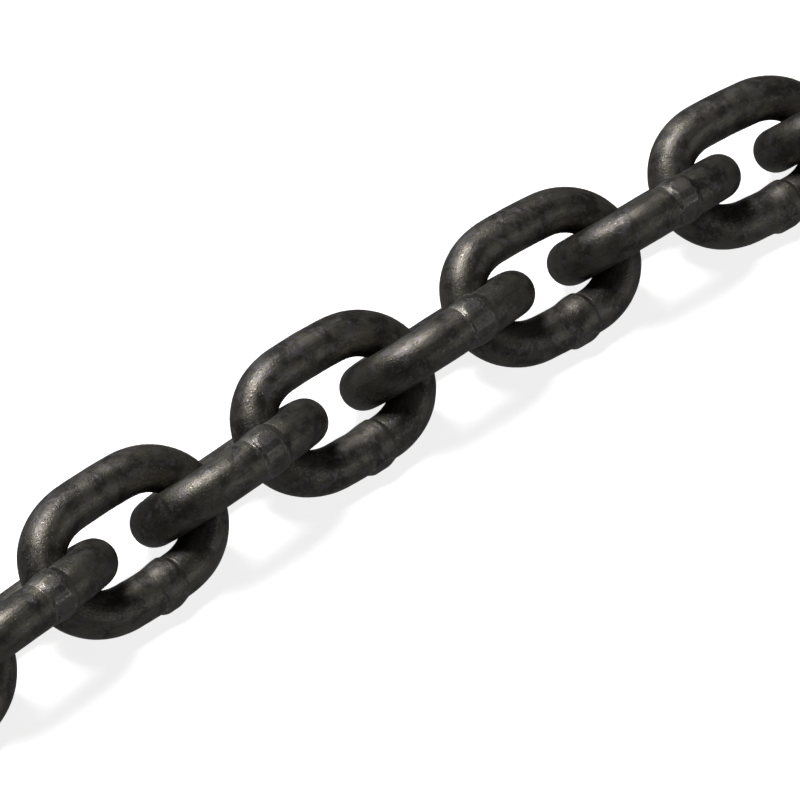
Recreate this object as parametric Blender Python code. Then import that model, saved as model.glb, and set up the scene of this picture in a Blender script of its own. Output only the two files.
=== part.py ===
"""A cut length of welded short-link chain, black from the mill, laid out along a floor.

Each link is one round steel bar, bent into a loop and butt-welded in one of its two limbs.
Neighbouring links lean opposite ways, halfway between flat and upright, so that every link
rests on its lower limb. The run wanders a little from straight, as a chain does when it is
pulled out by hand. +X runs along the chain, +Z is up and the floor is at z = 0.
"""
import math

import bpy
from mathutils import Matrix, Vector

# The bar and the link, in metres
LINK_COUNT = 25
WIRE_DIAMETER = 0.013
PITCH = 3 * WIRE_DIAMETER
LINK_WIDTH = 0.0434
CONTACT_GAP = 0.0005

# The weld, a short stretch of one limb that is upset thicker than the bar, and mostly outward
WELD_CENTRE = 0.003
WELD_FLAT = 0.006
WELD_TAPER = 0.0015
WELD_SWELL = 1.06
WELD_OUTWARD = 0.0004

# How the links lie: their lean, and which way each one heads in plan
LEAN = math.radians(45)
SWAY = math.radians(5.7)
SWAY_LINKS = 26
SWAY_MIDDLE = 14
KINK = math.radians(1.6)

# How finely the bar is faceted
CROWN_STEPS = 8
SECTION_RESOLUTION = 4

# The colour of the mill scale on the bar
SCALE_COLOUR = (0.045, 0.040, 0.034, 1.0)
SCALE_ROUGHNESS = 0.5
SCALE_METALLIC = 0.7

# Worked out from the driving dimensions
SECTION_SIDES = 4 + 2 * SECTION_RESOLUTION
SECTION_APOTHEM = WIRE_DIAMETER / 2 * math.cos(math.pi / SECTION_SIDES)
CONTACT = WIRE_DIAMETER + CONTACT_GAP
HALF_LENGTH = (PITCH + CONTACT) / 2
LIMB_OFFSET = (LINK_WIDTH - WIRE_DIAMETER) / 2


def clear_scene():
    for obj in list(bpy.data.objects):
        bpy.data.objects.remove(obj, do_unlink=True)


def mill_scale():
    material = bpy.data.materials.new("mill_scale")
    material.use_nodes = True
    shader = material.node_tree.nodes["Principled BSDF"]
    shader.inputs["Base Color"].default_value = SCALE_COLOUR
    shader.inputs["Roughness"].default_value = SCALE_ROUGHNESS
    shader.inputs["Metallic"].default_value = SCALE_METALLIC
    return material


def bar_points():
    """The bar's centreline round one link, as (x, y, thickness) with thickness 1 on plain bar.

    Each crown is half a circle, and the limbs are the straight runs between the crowns.
    """
    limb_half = HALF_LENGTH - LIMB_OFFSET
    points = []
    for end in (1, -1):
        for step in range(CROWN_STEPS + 1):
            turn = math.pi * (step / CROWN_STEPS - 0.5)
            x = end * (limb_half + LIMB_OFFSET * math.cos(turn))
            y = end * LIMB_OFFSET * math.sin(turn)
            points.append((x, y, 1.0))
    weld_start = WELD_CENTRE - WELD_FLAT / 2
    weld_end = WELD_CENTRE + WELD_FLAT / 2
    weld_y = -LIMB_OFFSET - WELD_OUTWARD
    points.append((weld_start - WELD_TAPER, -LIMB_OFFSET, 1.0))
    points.append((weld_start, weld_y, WELD_SWELL))
    points.append((weld_end, weld_y, WELD_SWELL))
    points.append((weld_end + WELD_TAPER, -LIMB_OFFSET, 1.0))
    return points


def link_curve(material):
    """One closed bar for every link: a ring of round section, with a lump at its weld."""
    curve = bpy.data.curves.new("link_bar", "CURVE")
    curve.dimensions = "3D"
    curve.bevel_depth = WIRE_DIAMETER / 2
    curve.bevel_resolution = SECTION_RESOLUTION
    points = bar_points()
    spline = curve.splines.new("POLY")
    spline.points.add(len(points) - 1)
    spline.use_cyclic_u = True
    for point, (x, y, thickness) in zip(spline.points, points):
        point.co = (x, y, 0, 1)
        point.radius = thickness
    curve.materials.append(material)
    return curve


def lean_side(number):
    """+1 for a link whose weld limb is the lower one, -1 for a link that leans the other way."""
    return 1 if number % 2 == 0 else -1


def heading(number):
    """Which way a link points in plan: a slow sway along the chain, and a small kink at each link."""
    sway = SWAY * math.sin(math.tau * (SWAY_MIDDLE - number) / SWAY_LINKS)
    return sway - KINK * lean_side(number)


def along(angle):
    return Vector((math.cos(angle), math.sin(angle), 0))


def centre_height(number):
    """A link's centre above the floor, with its lower limb, welded or plain, resting on it."""
    if lean_side(number) == 1:
        return SECTION_APOTHEM * WELD_SWELL + (LIMB_OFFSET + WELD_OUTWARD) * math.sin(LEAN)
    return SECTION_APOTHEM + LIMB_OFFSET * math.sin(LEAN)


def next_centre(number, centre):
    """Where the link after this one has its centre, when their crowns bear on each other."""
    here, there = heading(number), heading(number + 1)
    spot = centre + HALF_LENGTH * (along(here) + along(there)) - CONTACT * along((here + there) / 2)
    return Vector((spot.x, spot.y, centre_height(number + 1)))


def link_matrix(number, centre):
    turn = Matrix.Rotation(heading(number), 4, "Z")
    lean = Matrix.Rotation(LEAN * lean_side(number), 4, "X")
    return Matrix.Translation(centre) @ turn @ lean


def pivot_matrix(link_world):
    """The middle of a link's right-hand crown, about which the next link swings on its Y axis."""
    return link_world @ Matrix.Translation((HALF_LENGTH, 0, 0))


def build_chain(collection):
    """Hang every link on an empty in the crown of the link before it, and return the links."""
    curve = link_curve(mill_scale())
    links = []
    centre = Vector((0, 0, centre_height(1)))
    pivot_world = Matrix.Identity(4)
    for number in range(1, LINK_COUNT + 1):
        world = link_matrix(number, centre)
        link = bpy.data.objects.new(f"link_{number:02d}", curve)
        collection.objects.link(link)
        if links:
            pivot = bpy.data.objects.new(f"pivot_{number:02d}", None)
            pivot.empty_display_size = WIRE_DIAMETER
            collection.objects.link(pivot)
            pivot.parent = links[-1]
            pivot.matrix_basis = Matrix.Translation((HALF_LENGTH, 0, 0))
            link.parent = pivot
            link.matrix_basis = pivot_world.inverted() @ world
        else:
            link.matrix_basis = world
        links.append(link)
        pivot_world = pivot_matrix(world)
        centre = next_centre(number, centre)
    return links


def centre_on_origin(links):
    """Shift the first link, which carries the rest, so that the origin is under the middle."""
    bpy.context.view_layer.update()
    depsgraph = bpy.context.evaluated_depsgraph_get()
    spots = []
    for link in links:
        mesh = link.evaluated_get(depsgraph).to_mesh()
        spots += [link.matrix_world @ vertex.co for vertex in mesh.vertices]
    for axis in (0, 1):
        values = [spot[axis] for spot in spots]
        links[0].location[axis] -= (min(values) + max(values)) / 2
    bpy.context.view_layer.update()


def main():
    clear_scene()
    collection = bpy.data.collections.new("short_link_chain")
    bpy.context.scene.collection.children.link(collection)
    centre_on_origin(build_chain(collection))


main()
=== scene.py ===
"""A cut length of welded short-link chain, black from the mill, lying along a pale floor.

Every link of the frame is dressed with a finely modelled one: the bar as it was bent, with its
upset and trimmed weld, under a skin of mill scale. Lengths are in metres unless a name says mm.
"""

import math
import random

import bmesh
import bpy
import numpy as np
from mathutils import Matrix, Vector, noise


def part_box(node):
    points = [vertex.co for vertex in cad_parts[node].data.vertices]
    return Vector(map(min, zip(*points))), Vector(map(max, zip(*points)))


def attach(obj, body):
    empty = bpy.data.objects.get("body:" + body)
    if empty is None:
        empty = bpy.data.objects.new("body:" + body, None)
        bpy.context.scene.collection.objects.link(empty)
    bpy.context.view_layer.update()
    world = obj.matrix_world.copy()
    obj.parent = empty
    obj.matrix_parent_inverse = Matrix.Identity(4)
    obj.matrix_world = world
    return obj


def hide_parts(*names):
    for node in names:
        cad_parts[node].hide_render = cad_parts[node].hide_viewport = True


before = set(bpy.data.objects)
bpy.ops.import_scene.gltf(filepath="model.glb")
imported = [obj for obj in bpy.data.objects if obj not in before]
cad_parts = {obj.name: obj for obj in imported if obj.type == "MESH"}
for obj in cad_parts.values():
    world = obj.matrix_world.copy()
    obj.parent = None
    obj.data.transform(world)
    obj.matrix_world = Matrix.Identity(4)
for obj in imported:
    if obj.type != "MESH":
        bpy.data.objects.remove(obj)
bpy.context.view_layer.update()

# The bar of a link
# Each link starts as a straight cut of round mild-steel bar, bent hot round a mandrel until its
# two ends meet near the middle of one limb. The frame gives its place and its length.
MM = 0.001
BAR_RADIUS = 6.5 * MM
LIMB_OFFSET = 15.2 * MM
LIMB_HALF = 11 * MM
LEAN = math.radians(45)
SECTION_SIDES = 88
CROWN_STEPS = 44
PLAIN_STEPS = 22
WELD_STEPS = 72
LINK_NAMES = sorted(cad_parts)


def link_place(number, name):
    """Where a link lies, as a matrix: centre and long axis from the crown tips of its solid."""
    low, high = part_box(name)
    middle = (low + high) / 2
    corners = [vertex.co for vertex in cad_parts[name].data.vertices]
    tips = []
    for side in (-1, 1):
        half = [corner for corner in corners if (corner.x - middle.x) * side > 0]
        tips.append(max(half, key=lambda corner: (corner - middle).length))
    left, right = tips
    weld_side = 1 if number % 2 == 0 else -1
    long_axis = (right - left).normalized()
    level_axis = Vector((-long_axis.y, long_axis.x, 0))
    wide_axis = level_axis * math.cos(LEAN) + Vector((0, 0, weld_side * math.sin(LEAN)))
    turn = Matrix((long_axis, wide_axis, long_axis.cross(wide_axis))).transposed()
    return Matrix.Translation((left + right) / 2) @ turn.to_4x4(), (right - left).length / 2


def draw_out(bm, edges, step, count):
    """Carry the open end of the bar along X in equal steps, and return its new end."""
    for _ in range(count):
        grown = bmesh.ops.extrude_edge_only(bm, edges=edges)["geom"]
        edges = [part for part in grown if isinstance(part, bmesh.types.BMEdge)]
        verts = [part for part in grown if isinstance(part, bmesh.types.BMVert)]
        bmesh.ops.translate(bm, verts=verts, vec=(step, 0, 0))
    return edges


def bend_round(bm, edges, centre_x):
    """Spin the open end of the bar half a turn round a crown's centre, and return its new end."""
    spun = bmesh.ops.spin(
        bm, geom=edges, cent=(centre_x, 0, 0), axis=(0, 0, 1), angle=math.pi, steps=CROWN_STEPS
    )
    return [part for part in spun["geom_last"] if isinstance(part, bmesh.types.BMEdge)]


def bent_bar():
    """A plain ring of round bar, its limbs along X and its weld limb at -Y, with even crowns."""
    bm = bmesh.new()
    start = Matrix.Translation((LIMB_HALF, -LIMB_OFFSET, 0)) @ Matrix.Rotation(math.pi / 2, 4, "Y")
    bmesh.ops.create_circle(bm, segments=SECTION_SIDES, radius=BAR_RADIUS, matrix=start)
    end = bend_round(bm, list(bm.edges), LIMB_HALF)
    end = draw_out(bm, end, -2 * LIMB_HALF / PLAIN_STEPS, PLAIN_STEPS)
    end = bend_round(bm, end, -LIMB_HALF)
    draw_out(bm, end, 2 * LIMB_HALF / WELD_STEPS, WELD_STEPS)
    bmesh.ops.remove_doubles(bm, verts=bm.verts, dist=0.01 * MM)
    bmesh.ops.recalc_face_normals(bm, faces=bm.faces)
    return bm


# The shape that bending gives
# Bent hot over a mandrel, the crowns come out a little pointed and the limbs a little bowed, and
# the bar draws thin round the outside of each crown.
CROWN_LENGTH = 18.55 * MM
CROWN_POWER = 2.08
LIMB_BOW = 0.16 * MM
CROWN_THINNING = 0.12 * MM
LIMB_TOLERANCE = 1e-6


def on_limb(outward):
    """Whether a place on the ring is on a straight limb, and not on a crown."""
    return abs(outward.x) < LIMB_TOLERANCE


def bar_place(spot):
    """Limb run, outward direction and angle round the bar of a point on the plain ring."""
    run = max(-LIMB_HALF, min(LIMB_HALF, spot.x))
    arm = Vector((spot.x - run, spot.y))
    round_bar = math.atan2(spot.z, arm.length - LIMB_OFFSET)
    return run, arm.normalized(), round_bar


def bent_centre(run, outward, half_length):
    """The bar's centreline and its outward direction, for a limb run or a place on a crown."""
    limb_half = half_length - CROWN_LENGTH
    if on_limb(outward):
        share = run / LIMB_HALF
        bow = LIMB_BOW * (1 - share * share)
        centre = Vector((limb_half * share, math.copysign(LIMB_OFFSET + bow, outward.y), 0))
        return centre, Vector((0, math.copysign(1, outward.y), 0))
    along, across = abs(outward.x), abs(outward.y)
    reach = limb_half + CROWN_LENGTH * along ** (2 / CROWN_POWER)
    rise = LIMB_OFFSET * across ** (2 / CROWN_POWER)
    centre = Vector((math.copysign(reach, outward.x), math.copysign(rise, outward.y), 0))
    slope_x = along ** (2 - 2 / CROWN_POWER) / CROWN_LENGTH
    slope_y = across ** (2 - 2 / CROWN_POWER) / LIMB_OFFSET
    facing = Vector((math.copysign(slope_x, outward.x), math.copysign(slope_y, outward.y), 0))
    return centre, facing.normalized()


def along_bar(run, outward):
    """How far round the link a place is from the middle of its weld limb, 1 at the far middle."""
    if on_limb(outward):
        reach = abs(run) if outward.y < 0 else 2 * LIMB_HALF + math.pi * LIMB_OFFSET - abs(run)
    else:
        reach = LIMB_HALF + LIMB_OFFSET * math.atan2(abs(outward.x), -outward.y)
    return reach / (2 * LIMB_HALF + math.pi * LIMB_OFFSET)


# The butt weld
# The two bar ends are pressed together hot and upset into a lump, with a step outside where they
# met out of line. A trimming tool drawn along the bar shears the lump down to a row of long flats.
WELD_START_MM = -1.6
WELD_LENGTH_MM = 9.2
LUMP_OUTSIDE_MM = 1.35
LUMP_INSIDE_MM = 0.55
LUMP_LEAN = 0.7
LUMP_SPREAD = 2.2
INSIDE_TOP_MM = 4
INSIDE_FALL_MM = 1.5
END_SLANT_MM = 0.8
CREASE_MM = 0.05
CREASE_WIDTH_MM = 0.35
RAGGED_MM = 0.35
TRIM_FLATS = ((-62, 0.36), (-38, 0.42), (-15, 0.68), (8, 0.85), (31, 0.7))
FLAT_REACH = 0.7
CUT_FADE_MM = 0.12
RIDGE_ROUNDING_MM = 0.09
STEP_PLACE_MM = 0.15
STEP_WIDTH_MM = 0.45
WELD_NOISE_SHIFT = 9.7


def smooth(value, start, end):
    """0 before start and 1 after end, with a smooth rise between them."""
    share = max(0, min(1, (value - start) / (end - start)))
    return share * share * (3 - 2 * share)


class Weld:
    """One link's weld: the same lump on every link, with a welder's differences."""

    def __init__(self, number):
        draw = random.Random(number)
        self.number = number
        self.start = WELD_START_MM + draw.uniform(-0.4, 0.4)
        self.length = WELD_LENGTH_MM * draw.uniform(0.92, 1.06)
        self.outside = LUMP_OUTSIDE_MM * draw.uniform(0.72, 1.05)
        self.inside = LUMP_INSIDE_MM * draw.uniform(0.8, 1.3)
        self.flats = []
        for angle, depth in TRIM_FLATS:
            turned = math.radians(angle + draw.uniform(-5, 5))
            self.flats.append((turned, depth * draw.uniform(0.75, 1.1)))

    def lump(self, x_mm, round_bar):
        """Height of the untrimmed lump over the plain bar, in mm."""
        facing = (1 + math.cos(round_bar)) / 2
        share = (x_mm - self.start) / self.length
        end = self.start + self.length - END_SLANT_MM * (1 - facing)
        outer = math.sin(math.pi * share ** LUMP_LEAN) if 0 < share < 1 else 0
        fall = 1 - smooth(x_mm, end - INSIDE_FALL_MM, end)
        inner = smooth(x_mm, self.start, INSIDE_TOP_MM) * fall
        crease = (x_mm - end) / CREASE_WIDTH_MM
        outside = self.outside * outer * facing ** LUMP_SPREAD
        height = outside + self.inside * inner * (1 - facing ** 2)
        return height - CREASE_MM * math.exp(-crease * crease)

    def relief(self, x_mm, round_bar):
        """Height over the plain bar in mm, how far it is trimmed, and how worn its edges are."""
        shift = self.number * WELD_NOISE_SHIFT
        ragged = Vector((math.cos(round_bar) * 2, math.sin(round_bar) * 2, shift))
        x_mm += RAGGED_MM * (noise.noise(ragged) + 0.5 * noise.noise(ragged * 3.1))
        height = self.lump(x_mm, round_bar)
        levels = [height]
        for flat, depth in self.flats:
            lean = math.cos(round_bar - flat)
            if lean > FLAT_REACH:
                levels.append((BAR_RADIUS / MM + depth) / lean - BAR_RADIUS / MM)
        levels.sort()
        cut = smooth(height - levels[0], 0, CUT_FADE_MM)
        ridge = 0
        if len(levels) > 1:
            ridge = 1 - smooth(levels[1] - levels[0], 0, RIDGE_ROUNDING_MM)
        step = (x_mm - self.start - STEP_PLACE_MM) / STEP_WIDTH_MM
        worn = max(ridge * smooth(height, 0.25, 0.5), math.exp(-step * step) * math.cos(round_bar))
        near = sum(math.exp((levels[0] - level) / RIDGE_ROUNDING_MM) for level in levels)
        return levels[0] - RIDGE_ROUNDING_MM * math.log(near), cut, max(0, worn)


# The skin of the bar
# Hot bar comes off the rolls and the bending mandrel with shallow waves, and flakes of scale have
# been hammered into it and have sprung off again.
WAVE_SIZE_MM = 7
WAVE_MM = 0.07
DENT_SIZE_MM = 1.9
DENT_MM = 0.028
LINK_NOISE_SHIFT = Vector((173, 31, 0))


def skin_relief(place_mm):
    """Waves and dents of the hot-worked skin, in mm, at a place on the plain ring."""
    wave = noise.noise(place_mm / WAVE_SIZE_MM)
    dent = noise.noise(place_mm / DENT_SIZE_MM)
    return WAVE_MM * wave + DENT_MM * dent


def plan_bends(bm, half_length):
    """Mark every vert with its place on the plain ring and along the bar, and plan its bend."""
    ring_mark = bm.verts.layers.float_vector.new("ring_mm")
    drawn_mark = bm.verts.layers.float_vector.new("drawn_mm")
    bends = []
    for vert in bm.verts:
        run, outward, round_bar = bar_place(vert.co)
        centre, facing = bent_centre(run, outward, half_length)
        spoke = facing * math.cos(round_bar) + Vector((0, 0, math.sin(round_bar)))
        place_mm = vert.co / MM
        vert[ring_mark] = place_mm
        drawn = Vector((math.cos(round_bar), math.sin(round_bar), along_bar(run, outward)))
        vert[drawn_mark] = drawn * BAR_RADIUS / MM
        thinning = CROWN_THINNING * abs(outward.x) * max(0, math.cos(round_bar))
        welded = on_limb(outward) and outward.y < 0
        bends.append((centre, spoke, place_mm, round_bar, thinning, welded))
    for face in bm.faces:
        face.smooth = True
    return bends


def finished_link(number, name, plain, bends):
    """One link's mesh where it lies, with the marks that its finish reads."""
    weld = Weld(number)
    shift = number * LINK_NOISE_SHIFT
    bm = plain.copy()
    cut_mark = bm.verts.layers.float.new("trimmed")
    worn_mark = bm.verts.layers.float.new("worn")
    for vert, (centre, spoke, place_mm, round_bar, thinning, welded) in zip(bm.verts, bends):
        height, cut, worn = weld.relief(centre.x / MM, round_bar) if welded else (0, 0, 0)
        vert[cut_mark] = cut
        vert[worn_mark] = worn
        relief = (height + skin_relief(place_mm + shift)) * MM - thinning
        vert.co = centre + (BAR_RADIUS + relief) * spoke
    bmesh.ops.transform(bm, matrix=link_place(number, name)[0], verts=bm.verts)
    mesh = bpy.data.meshes.new(f"chain_{name}")
    bm.to_mesh(mesh)
    bm.free()
    for mark in ("ring_mm", "drawn_mm"):
        places = np.empty(3 * len(mesh.vertices), np.float32)
        mesh.attributes[mark].data.foreach_get("vector", places)
        places = places.reshape(-1, 3) + np.array(shift, np.float32)
        mesh.attributes[mark].data.foreach_set("vector", places.ravel())
    return mesh


# The finish of the bar
# Mill scale: an iron oxide baked on hot, black to olive and purple where it is thick or thin. It
# is satin and finely pitted, and sheared to blue-grey steel where the trimming tool has been.
SCALE_DARK = (0.072, 0.067, 0.060, 1)
SCALE_OLIVE = (0.190, 0.178, 0.145, 1)
SCALE_PURPLE = (0.205, 0.186, 0.202, 1)
SCALE_BROWN = (0.212, 0.176, 0.148, 1)
SHEARED_STEEL = (0.190, 0.180, 0.186, 1)
RUBBED_STEEL_AND_GLINT = (0.560, 0.530, 0.490, 1)


class Value:
    """A number that varies over a finish. Arithmetic on it adds a Math node to the finish."""

    def __init__(self, finish, socket):
        self.finish = finish
        self.socket = socket

    def math(self, operation, first, second):
        settings = {"operation": operation}
        return self.finish.node("ShaderNodeMath", settings, {0: first, 1: second})

    def __add__(self, other):
        return self.math("ADD", self, other)

    def __radd__(self, other):
        return self.math("ADD", other, self)

    def __sub__(self, other):
        return self.math("SUBTRACT", self, other)

    def __rsub__(self, other):
        return self.math("SUBTRACT", other, self)

    def __mul__(self, other):
        return self.math("MULTIPLY", self, other)

    def __rmul__(self, other):
        return self.math("MULTIPLY", other, self)

    def step(self, start, end):
        """0 below start and 1 above end, with a smooth step between them."""
        settings = {"interpolation_type": "SMOOTHSTEP"}
        sockets = {"Value": self, "From Min": start, "From Max": end}
        return self.finish.node("ShaderNodeMapRange", settings, sockets)


class Finish:
    """The nodes of a material or a world, built up round its shader."""

    def __init__(self, owner, shader="Principled BSDF"):
        owner.use_nodes = True
        self.tree = owner.node_tree
        self.shader = self.tree.nodes[shader]

    def node(self, kind, settings, sockets, output=0):
        """Add a node, set it up, fill or link its sockets, and return one of its outputs."""
        made = self.tree.nodes.new(kind)
        for name, setting in settings.items():
            setattr(made, name, setting)
        self.fill(made, sockets)
        return Value(self, made.outputs[output])

    def fill(self, node, sockets):
        for name, value in sockets.items():
            if isinstance(value, Value):
                self.tree.links.new(value.socket, node.inputs[name])
            else:
                node.inputs[name].default_value = value

    def blend(self, share, low, high):
        """Mix two colours by a share."""
        settings = {"data_type": "RGBA"}
        return self.node("ShaderNodeMix", settings, {0: share, 6: low, 7: high}, 2)

    def noise(self, place, scale, detail, roughness=0.5):
        sockets = {"Vector": place, "Scale": scale, "Detail": detail, "Roughness": roughness}
        return self.node("ShaderNodeTexNoise", {}, sockets)


def mill_scale():
    material = bpy.data.materials.new("mill_scale_skin")
    finish = Finish(material)
    bar = finish.node("ShaderNodeAttribute", {"attribute_name": "ring_mm"}, {}, "Vector")
    drawn = finish.node("ShaderNodeAttribute", {"attribute_name": "drawn_mm"}, {}, "Vector")
    trimmed = finish.node("ShaderNodeAttribute", {"attribute_name": "trimmed"}, {}, "Fac")
    worn = finish.node("ShaderNodeAttribute", {"attribute_name": "worn"}, {}, "Fac")
    clouds = finish.noise(bar, 0.15, 3, 0.55)
    patches = finish.noise(bar, 0.40, 4, 0.6)
    mottle = finish.noise(bar, 0.9, 5, 0.65)
    streaks = finish.noise(drawn, 1.5, 3)
    grain = finish.noise(bar, 1.5, 3, 0.7)
    pit_field = finish.node("ShaderNodeTexVoronoi", {}, {"Vector": bar, "Scale": 1.1}, "Distance")
    pits = 1 - pit_field.step(0.08, 0.3)
    # Specks are shinier spots of the skin, and in the colour they are painted glints: the sparkle
    # of a highlight painted in as lighter dots.
    glint_specks = grain.step(0.55, 0.64) * mottle.step(0.40, 0.58)
    rubbed = worn * grain.step(0.40, 0.56)

    colour = finish.blend(clouds.step(0.38, 0.62), SCALE_DARK, SCALE_OLIVE)
    colour = finish.blend(patches.step(0.50, 0.64) * 0.8, colour, SCALE_PURPLE)
    colour = finish.blend(mottle.step(0.50, 0.68) * 0.6, colour, SCALE_BROWN)
    colour = finish.blend(streaks.step(0.48, 0.72) * 0.5, colour, SCALE_DARK)
    colour = finish.blend(trimmed * 0.3, colour, SHEARED_STEEL)
    # Painted glints: light specks blended toward rubbed steel stand in for the sparkle of the
    # highlight; the worn weld edges are rubbed bare steel.
    colour = finish.blend(glint_specks * 0.18 + rubbed * 0.7, colour, RUBBED_STEEL_AND_GLINT)
    roughness = 0.30 + 0.24 * patches - 0.18 * glint_specks + 0.12 * pits - 0.08 * rubbed
    height = 0.10 * grain + 0.045 * mottle - 0.040 * pits + 0.014 * streaks
    sockets = {"Height": height, "Distance": MM, "Strength": 1.0}
    relief = finish.node("ShaderNodeBump", {}, sockets)
    finish.fill(finish.shader, {
        "Base Color": colour, "Roughness": roughness, "Metallic": 0.75, "IOR": 1.9,
        "Normal": relief
    })
    return material


scale = mill_scale()
plain_link = bent_bar()
plain_link.verts.index_update()
bar_bends = plan_bends(plain_link, link_place(1, LINK_NAMES[0])[1] - BAR_RADIUS)
for index, node_name in enumerate(LINK_NAMES, start=1):
    link_mesh = finished_link(index, node_name, plain_link, bar_bends)
    link = bpy.data.objects.new(f"chain_{node_name}", link_mesh)
    bpy.context.scene.collection.objects.link(link)
    link.data.materials.append(scale)
    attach(link, node_name)
    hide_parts(node_name)

# The floor
# A plain pale board, matt and lit from inside as a photographer's light table is, and large
# enough to fill every view. The chain's light from below comes from the room.
FLOOR_SIZE = 40
FLOOR_LEVEL = -0.3 * MM
FLOOR_COLOUR = (0.90, 0.90, 0.90, 1)
FLOOR_GLOW = 0.92

board = bmesh.new()
bmesh.ops.create_grid(board, x_segments=8, y_segments=8, size=FLOOR_SIZE / 2)
bmesh.ops.translate(board, verts=board.verts, vec=(0, 0, FLOOR_LEVEL))
floor_mesh = bpy.data.meshes.new("floor")
board.to_mesh(floor_mesh)
board.free()
floor = bpy.data.objects.new("floor", floor_mesh)
bpy.context.scene.collection.objects.link(floor)
matt_white = bpy.data.materials.new("floor_matt")
matt = Finish(matt_white)
matt.fill(matt.shader, {
    "Base Color": FLOOR_COLOUR, "Roughness": 0.9, "Specular IOR Level": 0.1,
    "Emission Color": FLOOR_COLOUR, "Emission Strength": FLOOR_GLOW
})
floor.data.materials.append(matt_white)
floor.visible_glossy = False
floor.visible_diffuse = False
floor.visible_shadow = False

# The light
# A broad soft box overhead and a little behind the chain, a low panel in front of it and another
# behind it, in a dim room with a glow from below.
CHAIN_MIDDLE = Vector((0, 0, 0.017))
GLOW_BELOW = 0.13
GLOW_ABOVE = 0.02
LAMP_DISTANCE = 3.0


def soft_box(name, direction, size, watts, colour):
    lamp = bpy.data.lights.new(name, "AREA")
    lamp.shape = "RECTANGLE"
    lamp.size, lamp.size_y = size
    lamp.energy = watts
    lamp.color = colour
    box = bpy.data.objects.new(name, lamp)
    box.location = CHAIN_MIDDLE + Vector(direction).normalized() * LAMP_DISTANCE
    box.rotation_euler = (CHAIN_MIDDLE - box.location).to_track_quat("-Z", "Y").to_euler()
    box.visible_camera = False
    bpy.context.scene.collection.objects.link(box)


soft_box("overhead_box", (-0.11, 0.33, 0.935), (1.1, 1.1), 60, (1, 0.985, 0.97))
soft_box("front_panel", (0.45, -0.88, 0.15), (3.0, 1.6), 7, (1, 0.98, 0.95))
soft_box("back_panel", (0.0, 0.95, 0.40), (1.6, 1.2), 8, (0.84, 0.90, 1))
room_world = bpy.data.worlds.new("room")
room = Finish(room_world, "Background")
direction = room.node("ShaderNodeTexCoord", {}, {}, "Generated")
upward = room.node("ShaderNodeSeparateXYZ", {}, {0: direction}, "Z")
glow = GLOW_BELOW + (GLOW_ABOVE - GLOW_BELOW) * upward.step(-0.05, 0.05)
room.fill(room.shader, {"Color": (0.97, 0.98, 1, 1), "Strength": glow})
bpy.context.scene.world = room_world
bpy.context.scene.view_settings.view_transform = "Standard"

# The camera
# It stands where the photograph was taken from, with a long lens, looking down on the chain.
VIEW_SIDE = math.radians(39.11)
VIEW_HEIGHT = math.radians(39.16)
VIEW_ROLL = math.radians(-3.24)
VIEW_DISTANCE = 1.568
VIEW_TARGET = Vector((-0.0246, 0.0033, 0.017))
SENSOR_MM = 36
LENS_MM = 258.9

level = math.cos(VIEW_HEIGHT)
back = Vector((
    -math.sin(VIEW_SIDE) * level, -math.cos(VIEW_SIDE) * level, math.sin(VIEW_HEIGHT)
))
right = Vector((math.cos(VIEW_SIDE), -math.sin(VIEW_SIDE), 0))
upright = Matrix((right, back.cross(right), back)).transposed()
turned = upright @ Matrix.Rotation(VIEW_ROLL, 3, "Z")
camera_data = bpy.data.cameras.new("camera")
camera_data.sensor_width = SENSOR_MM
camera_data.lens = LENS_MM
camera = bpy.data.objects.new("camera", camera_data)
camera.matrix_world = Matrix.Translation(VIEW_TARGET + back * VIEW_DISTANCE) @ turned.to_4x4()
bpy.context.scene.collection.objects.link(camera)
bpy.context.scene.camera = camera
